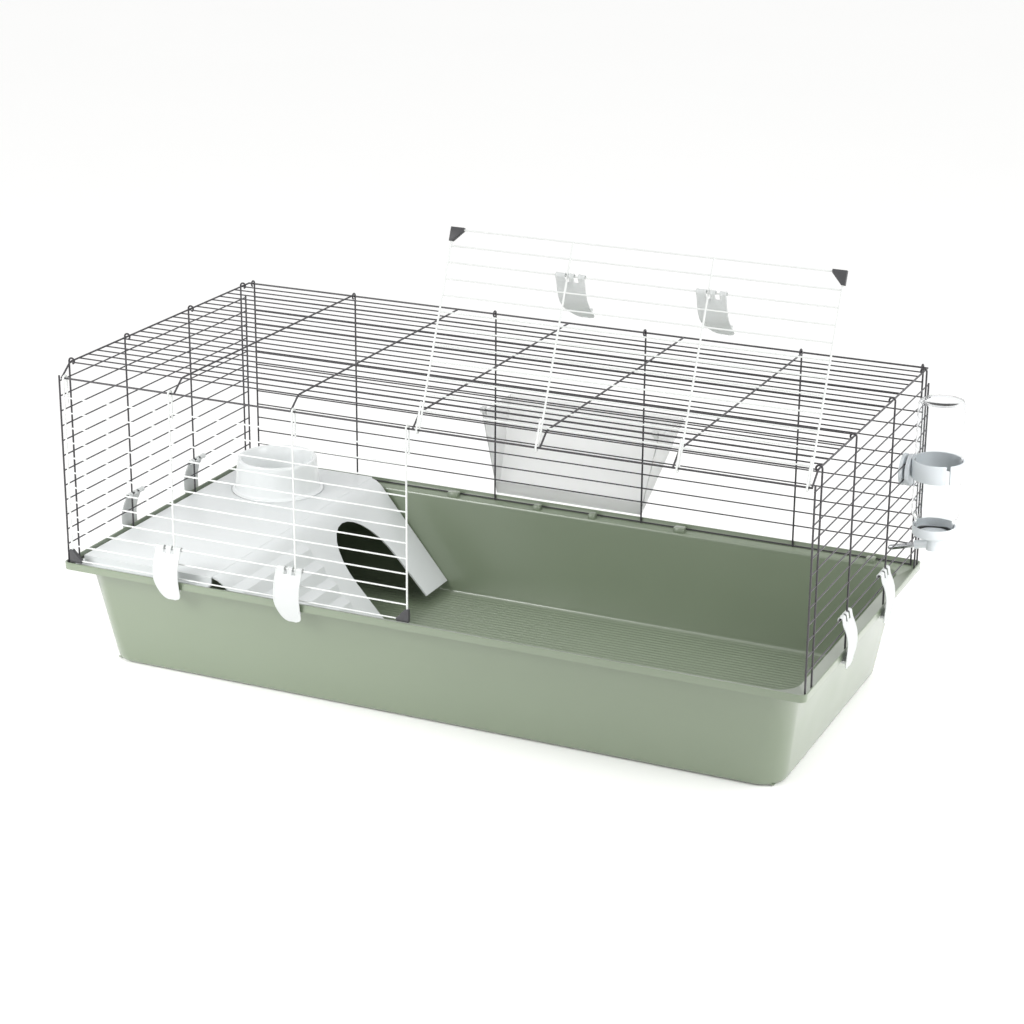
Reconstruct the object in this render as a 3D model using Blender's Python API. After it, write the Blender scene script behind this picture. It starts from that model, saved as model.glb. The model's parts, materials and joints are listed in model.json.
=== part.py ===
"""Indoor rabbit cage: plastic tray, wire top with two front doors, clips, shelf, bowl, hay rack and drinker.

Metres, +Z up, X to the right, Y towards the back. The origin is the middle of the tray's flat underside.
"""

import bmesh
import bpy
import numpy as np
from math import cos, pi, radians, sin
from mathutils import Matrix, Vector

# Overall sizes.
RIM_X = 0.5905  # half length over the tray's rim
RIM_Y = 0.286  # half depth over the tray's rim
LIP_TOP = 0.169
ROOF_Z = 0.477

# Tray.
WALL = 0.0025
RIM_BAND = 0.0115
RIM_CORNER = 0.010
LEDGE_DROP = 0.009
LEDGE_WIDTH = 0.025
FOOT_INSET = 0.0445
FLOOR = 0.003
LEDGE_Z = LIP_TOP - LEDGE_DROP

# Wire.
THICK = 0.003
POST_WIDTH = 0.003
RAIL_WIDTH = 0.0022
DOOR_RAIL_WIDTH = 0.0024
CURL_R = 0.0045
RAIL_PITCH = 0.0234
FIRST_RAIL_Z = LIP_TOP + 0.0035
ROOF_INTERVALS = 22
POST_FOOT_Z = LEDGE_Z + 0.0005

# Wire top, derived from the tray: the side walls stand on the ledge, inside the lip.
SIDE_X = RIM_X - 0.0044
ROOF_X = SIDE_X - CURL_R
BACK_Y = RIM_Y - 0.0047
ROOF_BACK_Y = BACK_Y - CURL_R
HINGE_Y = 0.011 - RIM_Y
BEND_Y = HINGE_Y + 0.0238
ROOF_PITCH = (ROOF_BACK_Y - BEND_Y) / ROOF_INTERVALS
HINGE_Z = ROOF_Z - 0.0186
DOOR_Y = HINGE_Y - CURL_R
CROSS_X = ROOF_X / 3

# Doors.
DOOR_OPEN = 203
DOOR_END_X = ROOF_X - 0.0056
DOOR_MIDDLE_X = 0.008
TAIL = 0.04
CAP_LEG = 0.02
CAP_WALL = 0.0015
CAP_GAP = 0.0003
DOOR_RAILS = 12

# Clips.
CLIP_WIDTH = 0.0435
CLIP_RING_R = 0.0034
CLIP_T = 0.0018
CLIP_RAIL = 2
CLIP_OPEN = 120
CLIP_REACH = 0.0625
CLIP_Z = FIRST_RAIL_Z + CLIP_RAIL * RAIL_PITCH

# Shelf.
SHELF_T = 0.003
SHELF_TOP = LEDGE_Z + 0.015
SHELF_HALF_Y = RIM_Y - 0.0275
SHELF_LEFT = RIM_X - 0.0235
SHELF_RIGHT = -0.345
FLANGE = 0.0115
RAMP_TOP = (-0.322, SHELF_TOP - 0.014)
RAMP_END = 0.188
RAMP_ANGLE = radians(47.7)
STEP_START = 0.0203
STEP_PITCH = 0.0347
STEPS = 5
STEP_PROUD = 0.0066
ARCH_MIDDLE_Y = 0.0935
ARCH_R = 0.0695
ARCH_CENTRE_Z = 0.082

# Bowl.
BOWL_X = -0.46
BOWL_Y = 0.145
BOWL_FOOT_R = 0.075
BOWL_GAP = 0.0015
RECESS = 0.0015

# Hay rack.
RACK_Y = BACK_Y + THICK / 2 + 0.0017
RACK_BOTTOM = LIP_TOP + 0.0035
RACK_TOP = RACK_BOTTOM + 0.1345
RACK_HALF_LOW = 0.127
RACK_HALF_HIGH = 0.155
RACK_DEPTH = 0.1155
RACK_T = 0.002
RACK_LIP = 0.0195

# Drinker.
DRINK_Y = 0.18
BOTTLE_R = 0.035
NECK_R = BOTTLE_R - 0.0062
DRINK_X = SIDE_X + BOTTLE_R + 0.0109
BOTTLE_BOTTOM = 0.2583
BOTTLE_TOP = 0.46
BOTTLE_T = 0.0012
CAP_R = BOTTLE_R - 0.003
SEAL_R = NECK_R - 0.0063
COLLAR_GAP = 0.0007
COLLAR_T = 0.0026
COLLAR_Z = 0.342
COLLAR_HEIGHT = 0.028
SPLIT_TURN = radians(-52)
JAW_R = 0.024
STUD_Z = FIRST_RAIL_Z + 7.5 * RAIL_PITCH
STUD_R = 0.003
SPOUT_R = 0.004
SPOUT_BORE = 0.0032
SPOUT_DROP = radians(15)
SPOUT_TIP_X = SIDE_X - 0.0191
SPOUT_TIP_Z = 0.2225
BALL_R = 0.003

for old in list(bpy.data.objects):
    bpy.data.objects.remove(old, do_unlink=True)


def material(name, colour, roughness, metallic=0.0, alpha=1.0, transmission=0.0):
    """A Principled BSDF material."""
    made = bpy.data.materials.new(name)
    made.use_nodes = True
    shader = made.node_tree.nodes["Principled BSDF"]
    shader.inputs["Base Color"].default_value = (*colour, 1.0)
    shader.inputs["Roughness"].default_value = roughness
    shader.inputs["Metallic"].default_value = metallic
    shader.inputs["Alpha"].default_value = alpha
    shader.inputs["Transmission Weight"].default_value = transmission
    return made


GREEN = material("sage_green_plastic", (0.33, 0.42, 0.28), 0.32)
DARK_WIRE = material("dark_coated_wire", (0.032, 0.028, 0.030), 0.38)
WHITE_WIRE = material("white_coated_wire", (0.80, 0.82, 0.81), 0.35)
DARK_CAP = material("dark_grey_plastic", (0.045, 0.045, 0.047), 0.45)
WHITE_CLIP = material("white_clip_plastic", (0.86, 0.88, 0.87), 0.3)
SHELF_WHITE = material("pale_grey_shelf_plastic", (0.72, 0.75, 0.74), 0.34)
BOWL_WHITE = material("white_bowl_plastic", (0.84, 0.86, 0.85), 0.3)
RACK_CLEAR = material("frosted_rack_plastic", (0.80, 0.84, 0.86), 0.3, 0.0, 0.55, 0.5)
HOLDER_GREY = material("pale_grey_holder_plastic", (0.60, 0.66, 0.70), 0.35)
SCREW_GREY = material("screw_plastic", (0.55, 0.60, 0.63), 0.4)
CAP_GREY = material("pale_grey_cap_plastic", (0.58, 0.65, 0.69), 0.35)
SEAL_BLACK = material("seal_rubber", (0.05, 0.05, 0.05), 0.6)
BOTTLE_CLEAR = material("clear_bottle_plastic", (0.95, 0.97, 0.98), 0.05, 0.0, 0.35, 0.9)
STEEL = material("stainless_steel", (0.62, 0.62, 0.63), 0.25, 1.0)


def make_node(name, points, faces, look, parent=None, smooth=False):
    """One closed mesh object; a face list of any polygons, turned outwards."""
    mesh = bpy.data.meshes.new(name)
    mesh.from_pydata([tuple(point) for point in points], [], [tuple(face) for face in faces])
    shape = bmesh.new()
    shape.from_mesh(mesh)
    bmesh.ops.recalc_face_normals(shape, faces=shape.faces)
    shape.to_mesh(mesh)
    shape.free()
    mesh.update()
    mesh.materials.append(look)
    for polygon in mesh.polygons:
        polygon.use_smooth = smooth
    node = bpy.data.objects.new(name, mesh)
    bpy.context.scene.collection.objects.link(node)
    node.parent = parent
    return node


def cutter(name, points, faces, parent=None):
    """A helper solid that never renders."""
    node = make_node(name, points, faces, GREEN, parent)
    node.hide_render = True
    node.display_type = "WIRE"
    return node


def combine(node, other, operation):
    """Adds an exact Boolean of the node with a helper."""
    modifier = node.modifiers.new(operation.lower() + "_" + other.name, "BOOLEAN")
    modifier.operation = operation
    modifier.solver = "EXACT"
    modifier.object = other


def box(low, high):
    """Corners and faces of an upright box."""
    (x0, y0, z0), (x1, y1, z1) = low, high
    points = [(x, y, z) for z in (z0, z1) for y in (y0, y1) for x in (x0, x1)]
    faces = [(0, 2, 3, 1), (4, 5, 7, 6), (0, 1, 5, 4), (2, 6, 7, 3), (0, 4, 6, 2), (1, 3, 7, 5)]
    return points, faces


def prism(outline, place):
    """A polygon drawn in (a, b), closed between its two ends: place(a, b, end) gives each corner."""
    count = len(outline)
    points = [place(a, b, end) for end in (-1, 1) for a, b in outline]
    faces = [tuple(range(count)), tuple(range(count, 2 * count))]
    for i in range(count):
        j = (i + 1) % count
        faces.append((i, j, count + j, count + i))
    return points, faces


def turned(profile, steps):
    """A profile of (radius, height) turned about Z: poles where it starts and ends on the axis, else a ring."""
    poles = profile[0][0] == 0 and profile[-1][0] == 0
    inner = profile[1:-1] if poles else profile
    points = []
    for radius, height in inner:
        for k in range(steps):
            angle = 2 * pi * k / steps
            points.append((radius * cos(angle), radius * sin(angle), height))
    faces = []
    rows = len(inner)
    for row in range(rows - 1 if poles else rows):
        after = (row + 1) % rows
        for k in range(steps):
            m = (k + 1) % steps
            faces.append((row * steps + k, row * steps + m, after * steps + m, after * steps + k))
    if poles:
        faces.append(tuple(range(steps)))
        faces.append(tuple(range((rows - 1) * steps, rows * steps)))
    return points, faces


def rod(start, end, radius, steps):
    """A solid cylinder between two points."""
    start = Vector(start)
    along = Vector(end) - start
    points, faces = turned([(0, 0), (radius, 0), (radius, along.length), (0, along.length)], steps)
    turn = along.to_track_quat("Z", "Y").to_matrix()
    return [start + turn @ Vector(point) for point in points], faces


def lattice(columns, rows, place, thickness, breaks=(), tails=None):
    """Crossing flat bars as one closed mesh.

    A column is (u, width, low, high), a row (v, width, low, high). place(u, v, n) gives the point at
    height n above the sheet. A tail carries the top of a column on along (v, n) points.
    """
    tails = tails or {}
    spans = [(u - w / 2, u + w / 2, low, high) for u, w, low, high in columns]
    spans += [(low, high, v - w / 2, v + w / 2) for v, w, low, high in rows]
    us = sorted({round(value, 7) for span in spans for value in span[:2]})
    vs = sorted({round(value, 7) for span in spans for value in span[2:]} | {round(v, 7) for v in breaks})
    filled = set()
    for u0, u1, v0, v1 in spans:
        for i in range(len(us) - 1):
            for j in range(len(vs) - 1):
                u = (us[i] + us[i + 1]) / 2
                v = (vs[j] + vs[j + 1]) / 2
                if u0 < u < u1 and v0 < v < v1:
                    filled.add((i, j))
    numbers = {}
    points = []
    faces = []

    def corner(i, j, side):
        key = (i, j, side)
        if key not in numbers:
            numbers[key] = len(points)
            points.append(place(us[i], vs[j], side * thickness / 2))
        return numbers[key]

    for i, j in sorted(filled):
        faces.append((corner(i, j, 1), corner(i + 1, j, 1), corner(i + 1, j + 1, 1), corner(i, j + 1, 1)))
        faces.append((corner(i, j, -1), corner(i, j + 1, -1), corner(i + 1, j + 1, -1), corner(i + 1, j, -1)))
        edges = (
            ((i - 1, j), (i, j), (i, j + 1)),
            ((i + 1, j), (i + 1, j + 1), (i + 1, j)),
            ((i, j - 1), (i + 1, j), (i, j)),
            ((i, j + 1), (i, j + 1), (i + 1, j + 1)),
        )
        for neighbour, start, end in edges:
            if neighbour in filled:
                continue
            if neighbour == (i, j + 1) and j + 1 == len(vs) - 1 and i in {us.index(round(u - POST_WIDTH / 2, 7)) for u in tails}:
                continue
            faces.append((corner(*start, 1), corner(*start, -1), corner(*end, -1), corner(*end, 1)))
    top = len(vs) - 1
    for u, path in tails.items():
        i = us.index(round(u - POST_WIDTH / 2, 7))
        ring = [corner(i, top, 1), corner(i + 1, top, 1), corner(i + 1, top, -1), corner(i, top, -1)]
        trail = np.array([(vs[top], 0.0)] + list(path))
        for k in range(1, len(trail)):
            before = trail[k] - trail[k - 1]
            after = trail[min(k + 1, len(trail) - 1)] - trail[k] if k + 1 < len(trail) else before
            before = before / np.hypot(*before)
            after = after / np.hypot(*after)
            middle = (before + after) / np.hypot(*(before + after))
            half = thickness / 2 / float(middle @ before)
            outward = np.array([-middle[1], middle[0]]) * half
            base = len(points)
            for value, side in ((us[i], 1), (us[i + 1], 1), (us[i + 1], -1), (us[i], -1)):
                v, n = trail[k] + side * outward
                points.append(place(value, v, n))
            for m in range(4):
                n = (m + 1) % 4
                faces.append((ring[m], ring[n], base + n, base + m))
            ring = [base, base + 1, base + 2, base + 3]
        faces.append(tuple(ring))
    return points, faces


def curl(height, turn, steps, tail=0.0):
    """(v, n) points of a wire end that turns inwards over the wire at this height."""
    angles = [radians(turn) * k / steps for k in range(steps + 1)]
    path = [(height + CURL_R * sin(a), -CURL_R + CURL_R * cos(a)) for a in angles]
    if tail:
        path.append((height - tail, -2 * CURL_R))
    return path


# Tray: one moulded tub. Its wall leans in towards the foot, and its rim is a ledge inside a low lip.
def rounded(inset, z, radius, steps=6):
    """One ring of a rounded rectangle this far inside the rim."""
    half_x = RIM_X - inset - radius
    half_y = RIM_Y - inset - radius
    ring = []
    for quarter, (sx, sy) in enumerate(((1, 1), (-1, 1), (-1, -1), (1, -1))):
        for k in range(steps + 1):
            angle = (quarter + k / steps) * pi / 2
            ring.append((sx * half_x + radius * cos(angle), sy * half_y + radius * sin(angle), z))
    return ring


rings = [
    rounded(FOOT_INSET + 0.010, 0.0, 0.030),
    rounded(FOOT_INSET + 0.003, 0.0027, 0.037),
    rounded(FOOT_INSET, 0.010, 0.040),
    rounded(LEDGE_WIDTH - WALL, LIP_TOP - RIM_BAND, 0.035),
    rounded(0.0, LIP_TOP - RIM_BAND, RIM_CORNER),
    rounded(0.0, LIP_TOP, RIM_CORNER),
    rounded(WALL, LIP_TOP, RIM_CORNER - WALL),
    rounded(WALL, LEDGE_Z, RIM_CORNER - WALL),
    rounded(LEDGE_WIDTH, LEDGE_Z, 0.033),
    rounded(FOOT_INSET + WALL, FLOOR + 0.009, 0.0375),
    rounded(FOOT_INSET + WALL + 0.003, FLOOR + 0.0025, 0.035),
    rounded(FOOT_INSET + WALL + 0.010, FLOOR, 0.030),
]
around = len(rings[0])
tray_points = [point for ring in rings for point in ring]
tray_faces = [tuple(range(around)), tuple(range((len(rings) - 1) * around, len(rings) * around))]
for row in range(len(rings) - 1):
    for k in range(around):
        m = (k + 1) % around
        tray_faces.append((row * around + k, row * around + m, (row + 1) * around + m, (row + 1) * around + k))
tray = make_node("tray", tray_points, tray_faces, GREEN)
LUGS = (
    (-0.198, 0.018, 1), (-0.047, 0.011, 1), (0.050, 0.011, 1), (0.200, 0.0175, 1), (0.5145, 0.014, 1),
    (-0.516, 0.013, -1), (-0.054, 0.010, -1), (0.042, 0.011, -1), (0.196, 0.021, -1), (0.530, 0.014, -1),
)
for number, (x, width, side) in enumerate(LUGS):
    near, far, top = (0.024, 0.0105, 0.0085) if side > 0 else (0.013, 0.0015, 0.005)
    reach = sorted((side * (RIM_Y - near), side * (RIM_Y - far)))
    low = (x - width / 2, reach[0], LEDGE_Z - 0.001)
    high = (x + width / 2, reach[1], LEDGE_Z + top)
    combine(tray, cutter(f"lug_{number}", *box(low, high)), "UNION")

# Wire walls: welded flat grids. The tall wires' top ends are curled over the edge wires of the roof.
TOP_RAIL = 12


def wall_rails(low, high):
    """Level wires of a wall: one along its foot, the others evenly spaced."""
    heights = [POST_FOOT_Z + 0.0018] + [FIRST_RAIL_Z + k * RAIL_PITCH for k in range(1, TOP_RAIL + 1)]
    return [(z, RAIL_WIDTH, low, high) for z in heights]


POST_TOP = FIRST_RAIL_Z + TOP_RAIL * RAIL_PITCH + 0.0025
FRONT_POST_Y = HINGE_Y
REAR_POST_Y = ROOF_BACK_Y - 0.0048
SIDE_CURLS = (
    BEND_Y + ROOF_PITCH / 6, BEND_Y + 6.4875 * ROOF_PITCH, BEND_Y + 14.2708 * ROOF_PITCH, ROOF_BACK_Y - ROOF_PITCH * 5 / 6,
)
side_posts = [(y, POST_WIDTH, POST_FOOT_Z, POST_TOP) for y in (FRONT_POST_Y, *SIDE_CURLS, REAR_POST_Y)]
side_rails = wall_rails(FRONT_POST_Y - POST_WIDTH / 2, REAR_POST_Y + POST_WIDTH / 2)
side_tails = {y: curl(ROOF_Z, 250, 8) for y in SIDE_CURLS}
side_tails[FRONT_POST_Y] = [(HINGE_Z + 0.0036, 0.0)]
for name, side in (("left_side_grille", -1), ("right_side_grille", 1)):
    grid = lattice(side_posts, side_rails, lambda u, v, n: (side * (SIDE_X + n), u, v), THICK, (), side_tails)
    make_node(name, *grid, DARK_WIRE)

BACK_CURLS = tuple(s * x for x in (RACK_HALF_LOW + 0.002, 2 * CROSS_X - 0.0038, ROOF_X - 0.0076) for s in (-1, 1))
back_posts = [(x, POST_WIDTH, POST_FOOT_Z, POST_TOP) for x in BACK_CURLS]
back_end = max(BACK_CURLS) + POST_WIDTH / 2
back_tails = {x: curl(ROOF_Z, 250, 8) for x in BACK_CURLS}
grid = lattice(back_posts, wall_rails(-back_end, back_end), lambda u, v, n: (u, BACK_Y + n, v), THICK, (), back_tails)
make_node("back_grille", *grid, DARK_WIRE)

# Roof: one welded grid, bent down along its front edge to the wire that the doors hang on.
SLOPE = np.array([BEND_Y - HINGE_Y, ROOF_Z - HINGE_Z])
SLOPE_LENGTH = float(np.hypot(*SLOPE))
SLOPE = SLOPE / SLOPE_LENGTH


def on_roof(u, v, n):
    """Point of the bent roof sheet, v measured up from the front wire."""
    if v < SLOPE_LENGTH:
        return (u, HINGE_Y + SLOPE[0] * v - SLOPE[1] * n, HINGE_Z + SLOPE[1] * v + SLOPE[0] * n)
    return (u, BEND_Y + v - SLOPE_LENGTH, ROOF_Z + n)


roof_length = SLOPE_LENGTH + ROOF_INTERVALS * ROOF_PITCH
half = POST_WIDTH / 2
cross_wires = [(k * CROSS_X, POST_WIDTH, -half, roof_length + half) for k in range(-3, 4)]
long_wires = [
    (SLOPE_LENGTH + k * ROOF_PITCH, RAIL_WIDTH, -ROOF_X - half, ROOF_X + half) for k in range(ROOF_INTERVALS)
]
long_wires += [(0.0, THICK, -ROOF_X - half, ROOF_X + half), (roof_length, THICK, -ROOF_X - half, ROOF_X + half)]
make_node("roof_grille", *lattice(cross_wires, long_wires, on_roof, THICK), DARK_WIRE)


# Doors: each hangs by hooked wire ends on the roof's front wire. The left one is shut, the right one is open.
def empty(name, location, turn_x=0.0, parent=None):
    """A joint axis, carried by an empty."""
    made = bpy.data.objects.new(name, None)
    bpy.context.scene.collection.objects.link(made)
    made.location = location
    made.rotation_euler = (radians(turn_x), 0, 0)
    made.parent = parent
    return made


door_hinges = {
    "left": empty("left_door_hinge", (0, HINGE_Y, HINGE_Z)),
    "right": empty("right_door_hinge", (0, HINGE_Y, HINGE_Z), -DOOR_OPEN),
}
DOOR_POSTS = (DOOR_MIDDLE_X, CROSS_X - 0.0044, 2 * CROSS_X + 0.0068, DOOR_END_X)
rail_low = FIRST_RAIL_Z - HINGE_Z
door_top = rail_low + (DOOR_RAILS - 1) * RAIL_PITCH + DOOR_RAIL_WIDTH / 2
for name, side in (("left", -1), ("right", 1)):
    ends = sorted((side * (DOOR_MIDDLE_X - half), side * (DOOR_END_X + half)))
    posts = [(side * x, POST_WIDTH, rail_low - DOOR_RAIL_WIDTH / 2, door_top) for x in DOOR_POSTS]
    rails = [(rail_low + k * RAIL_PITCH, DOOR_RAIL_WIDTH, ends[0], ends[1]) for k in range(DOOR_RAILS)]
    hooks = {side * x: curl(0.0, 180, 6, TAIL) for x in DOOR_POSTS}
    grid = lattice(posts, rails, lambda u, v, n: (u, -CURL_R - n, v), THICK, (), hooks)
    make_node(f"{name}_door_grille", *grid, WHITE_WIRE, door_hinges[name])
    for place_name, corner_x, inward in (("outer", side * DOOR_END_X, -side), ("inner", side * DOOR_MIDDLE_X, side)):
        outer = corner_x - inward * (half + CAP_GAP + CAP_WALL)
        foot = rail_low - DOOR_RAIL_WIDTH / 2 - CAP_GAP - CAP_WALL
        depth = THICK / 2 + CAP_WALL
        outline = [
            (outer, foot), (outer + inward * CAP_LEG, foot), (outer + inward * CAP_LEG, foot + 0.0046),
            (outer + inward * 0.0052, foot + CAP_LEG), (outer, foot + CAP_LEG),
        ]
        solid = prism(outline, lambda a, b, end: (a, -CURL_R + end * depth, b))
        cap = make_node(f"{name}_door_{place_name}_corner_cap", *solid, DARK_CAP, door_hinges[name])
        reach = THICK / 2 + CAP_GAP
        beside = sorted((corner_x - reach, corner_x + reach))
        low = (beside[0], -CURL_R - reach, rail_low - DOOR_RAIL_WIDTH / 2 - CAP_GAP)
        high = (beside[1], -CURL_R + reach, foot + CAP_LEG + 0.01)
        combine(cap, cutter(f"{name}_{place_name}_post_way", *box(low, high), door_hinges[name]), "DIFFERENCE")
        along = sorted((corner_x - inward * reach * 0.9, corner_x + inward * (CAP_LEG + 0.01)))
        low = (along[0], -CURL_R - reach * 0.98, rail_low - DOOR_RAIL_WIDTH / 2 - CAP_GAP * 0.9)
        high = (along[1], -CURL_R + reach * 0.98, rail_low + DOOR_RAIL_WIDTH / 2 + CAP_GAP)
        combine(cap, cutter(f"{name}_{place_name}_rail_way", *box(low, high), door_hinges[name]), "DIFFERENCE")

# Clips: eight equal hooks. Three fingers curl round a wall wire, and a tooth catches under the tray's rim.
FINGERS = ((0.0, 0.0145), (0.0195, 0.0275), (0.0335, CLIP_WIDTH))
ring_angles = [radians(350 - 32.5 * k) for k in range(9)]
clip_path = [(CLIP_RING_R * sin(a), CLIP_RING_R * cos(a)) for a in ring_angles]
BODY_START = len(clip_path)
clip_path += [(0.005, 0.008), (0.0095, 0.018), (0.0128, 0.030), (0.0134, 0.042), (0.0120, 0.054)]
TOOTH = (len(clip_path) + 1, len(clip_path) + 2)
clip_path += [
    (0.0101, CLIP_REACH), (0.0100, CLIP_REACH + 0.0006), (0.0093, CLIP_REACH + 0.004),
    (0.0091, CLIP_REACH + 0.0046), (0.0078, CLIP_REACH + 0.010), (0.0065, CLIP_REACH + 0.0165),
]
TOOTH_TIP = 0.002


def on_clip(u, v, n):
    """Point of the clip: v counts along its side profile, n is the height above the strip's middle."""
    k = int(round(v))
    here = np.array(clip_path[k])
    before = here - np.array(clip_path[max(k - 1, 0)])
    after = np.array(clip_path[min(k + 1, len(clip_path) - 1)]) - here
    before = before / np.hypot(*before) if k > 0 else after / np.hypot(*after)
    after = after / np.hypot(*after) if k + 1 < len(clip_path) else before
    middle = (before + after) / np.hypot(*(before + after))
    step = n / float(middle @ before)
    out = here[0] + middle[1] * step
    down = here[1] - middle[0] * step
    if n < 0 and k in TOOTH:
        out = TOOTH_TIP
        down = here[1]
    curve = max(0.0, (down - 0.042) / 0.037)
    return (u + 0.016 * curve**2 * (1 - u / CLIP_WIDTH), -out, -down)


fingers = [((a + b) / 2, b - a, 0, BODY_START) for a, b in FINGERS]
last = len(clip_path) - 1
body = [((BODY_START + last) / 2, last - BODY_START, 0.0, CLIP_WIDTH)]
clip_points, clip_faces = lattice(fingers, body, on_clip, CLIP_T, range(last + 1))


def place_clip(name, location, turn_z, swung, slot, parent=None):
    """One clip with its origin on the wire it turns about."""
    points = [(x - slot, y, z) for x, y, z in clip_points]
    node = make_node(name, points, clip_faces, WHITE_CLIP, parent)
    node.matrix_local = (
        Matrix.Translation(location) @ Matrix.Rotation(radians(turn_z), 4, "Z") @ Matrix.Rotation(radians(-swung), 4, "X")
    )


RIGHT_SLOT = 0.0310
LEFT_SLOT = 0.0170
clip_drop = CLIP_Z - HINGE_Z
for name, x in (("outer", -DOOR_POSTS[2]), ("inner", -DOOR_POSTS[1])):
    place_clip(f"left_door_{name}_clip", (x, -CURL_R, clip_drop), 0, 0, RIGHT_SLOT, door_hinges["left"])
for name, x in (("outer", DOOR_POSTS[2]), ("inner", DOOR_POSTS[1])):
    place_clip(f"right_door_{name}_clip", (x, -CURL_R, clip_drop), 0, CLIP_OPEN, LEFT_SLOT, door_hinges["right"])
for name, y in (("front", SIDE_CURLS[1]), ("rear", SIDE_CURLS[2])):
    place_clip(f"left_side_{name}_clip", (-SIDE_X, y, CLIP_Z), -90, 0, RIGHT_SLOT)
    place_clip(f"right_side_{name}_clip", (SIDE_X, y, CLIP_Z), 90, 0, RIGHT_SLOT)

# Shelf: one moulded platform that rests on the tray's ledge by a flange on three sides, with a stepped ramp.
half_t = SHELF_T / 2
shelf_rows = [
    (FLANGE, LEDGE_Z + 0.0035), (half_t, LEDGE_Z + 0.0035), (half_t, SHELF_TOP),
    (-half_t, SHELF_TOP - SHELF_T), (-half_t, LEDGE_Z + 0.0005), (FLANGE, LEDGE_Z + 0.0005),
]
shelf_points = []
for offset, z in shelf_rows:
    reach_y = SHELF_HALF_Y + offset
    reach_x = -SHELF_LEFT - offset
    shelf_points += [(SHELF_RIGHT, -reach_y, z), (reach_x, -reach_y, z), (reach_x, reach_y, z), (SHELF_RIGHT, reach_y, z)]
shelf_faces = [(8, 9, 10, 11), (12, 13, 14, 15), (0, 4, 8, 11, 7, 3, 23, 19, 15, 12, 16, 20)]
for row in range(6):
    after = (row + 1) % 6
    if row == 2:
        continue
    for k in range(3):
        shelf_faces.append((4 * row + k, 4 * row + k + 1, 4 * after + k + 1, 4 * after + k))
shelf = make_node("shelf", shelf_points, shelf_faces, SHELF_WHITE)


def on_ramp(s, h):
    """(x, z) at distance s down the ramp and h above its upper face."""
    return (
        RAMP_TOP[0] + s * cos(RAMP_ANGLE) + h * sin(RAMP_ANGLE),
        RAMP_TOP[1] - s * sin(RAMP_ANGLE) + h * cos(RAMP_ANGLE),
    )


def ramp_edge(z):
    """Half width of the ramp: it narrows downwards with the tray's wall."""
    return RIM_Y - FOOT_INSET - WALL - 0.0025 + 0.018 * z / LEDGE_Z


ramp_outline = [
    (SHELF_RIGHT - 0.007, SHELF_TOP - 0.0003), (SHELF_RIGHT + 0.001, SHELF_TOP - 0.0006),
    (SHELF_RIGHT + 0.010, SHELF_TOP - 0.0033), (SHELF_RIGHT + 0.018, SHELF_TOP - 0.009),
    on_ramp(0, 0), on_ramp(RAMP_END, 0), on_ramp(RAMP_END, -SHELF_T), on_ramp(0, -SHELF_T),
    (SHELF_RIGHT + 0.0155, SHELF_TOP - 0.0108), (SHELF_RIGHT + 0.008, SHELF_TOP - 0.0058),
    (SHELF_RIGHT + 0.0003, SHELF_TOP - SHELF_T - 0.0004), (SHELF_RIGHT - 0.007, SHELF_TOP - SHELF_T + 0.0003),
]
ramp = prism(ramp_outline, lambda a, b, end: (a, end * ramp_edge(b), b))
combine(shelf, cutter("ramp_solid", *ramp), "UNION")
step_outline = [on_ramp(0.003, -half_t), on_ramp(0.0045, 0.0003)]
for k in range(STEPS):
    nose = STEP_START + k * STEP_PITCH
    step_outline += [on_ramp(nose, STEP_PROUD), on_ramp(nose + 0.0187, 0.0003)]
step_outline.append(on_ramp(STEP_START + STEPS * STEP_PITCH - 0.0145, -half_t))
steps = prism(step_outline, lambda a, b, end: (a, -0.03 if end > 0 else 0.0008 - ramp_edge(b), b))
combine(shelf, cutter("step_solid", *steps), "UNION")
arch_outline = [(ARCH_MIDDLE_Y - ARCH_R, -0.01)]
arch_outline += [
    (ARCH_MIDDLE_Y - ARCH_R * cos(pi * k / 14), ARCH_CENTRE_Z + ARCH_R * sin(pi * k / 14)) for k in range(15)
]
arch_outline.append((ARCH_MIDDLE_Y + ARCH_R, -0.01))
arch = prism(arch_outline, lambda a, b, end: (-0.25 + end * 0.085, a, b))
combine(shelf, cutter("arch_way", *arch), "DIFFERENCE")
recess_low = SHELF_TOP - RECESS
recess = rod((BOWL_X, BOWL_Y, recess_low), (BOWL_X, BOWL_Y, SHELF_TOP + 0.01), BOWL_FOOT_R + BOWL_GAP, 32)
combine(shelf, cutter("bowl_recess", *recess), "DIFFERENCE")

# Bowl: one moulded feeding bowl with a wide foot, standing in the shelf's recess.
bowl_profile = [
    (0, 0.006), (0.046, 0.006), (0.0545, 0.003), (BOWL_FOOT_R - 0.006, 0.0005), (BOWL_FOOT_R, 0.0), (BOWL_FOOT_R, 0.0025),
    (0.0700, 0.0040), (0.0652, 0.0560 - 0.004), (0.0640, 0.0552), (0.0605, 0.0552), (0.0580, 0.0530),
    (0.0530, 0.0140), (0.0470, 0.0085), (0, 0.0080),
]
bowl = make_node("bowl", *turned(bowl_profile, 32), BOWL_WHITE, None, True)
bowl.location = (BOWL_X, BOWL_Y, recess_low + 0.0003)

# Hay rack: one moulded trough outside the back wall, hung by two hooks over a level wire.
RACK_SLOPE = (RACK_DEPTH - 0.006) / (RACK_TOP - RACK_BOTTOM)


def rack_half(z):
    """Half width of the rack, flaring upwards."""
    return RACK_HALF_LOW + (RACK_HALF_HIGH - RACK_HALF_LOW) * (z - RACK_BOTTOM) / (RACK_TOP - RACK_BOTTOM)


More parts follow.
